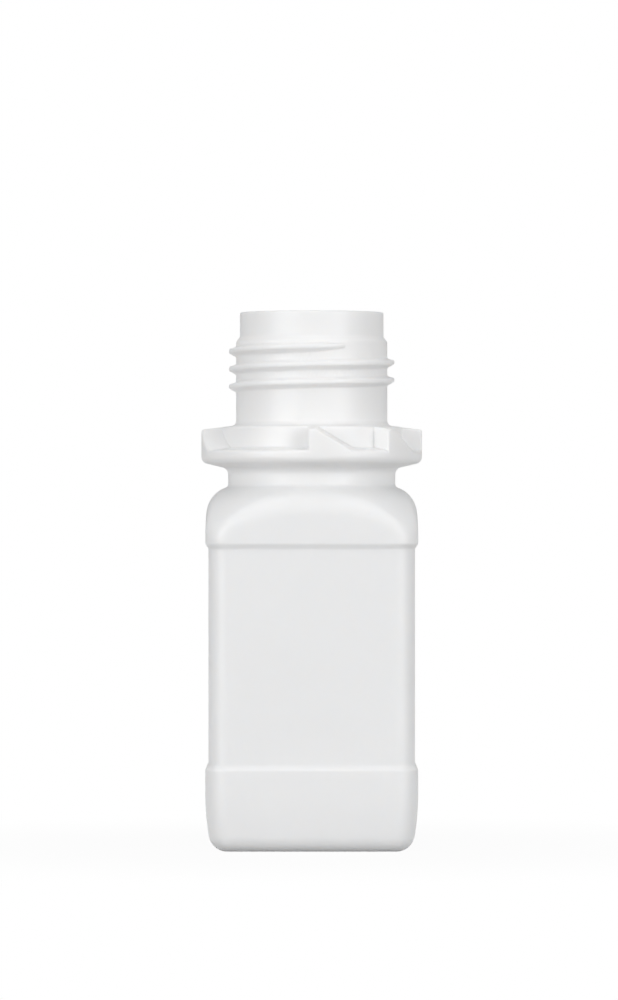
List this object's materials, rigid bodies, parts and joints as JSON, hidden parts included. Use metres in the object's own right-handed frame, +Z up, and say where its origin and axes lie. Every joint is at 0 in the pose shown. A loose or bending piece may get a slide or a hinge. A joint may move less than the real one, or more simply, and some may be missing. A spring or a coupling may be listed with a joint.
{
  "type": "square media bottle",
  "caption": "Small square plastic bottle with recessed side panels, a domed shoulder, a ratchet collar and a screw-thread neck; empty and open, without its cap.",
  "frame": {"origin": "middle of the base, on the plane the bottle stands on", "axes": "+Z up along the neck's axis, -Y towards the front panel, X across it"},
  "size_m": [0.0376, 0.0374, 0.0908],
  "materials": {
    "white_plastic": "opaque white blow-moulded polyethylene with a satin surface"
  },
  "bodies": {
    "root": {"bottle": "white_plastic"}
  },
  "joints": []
}
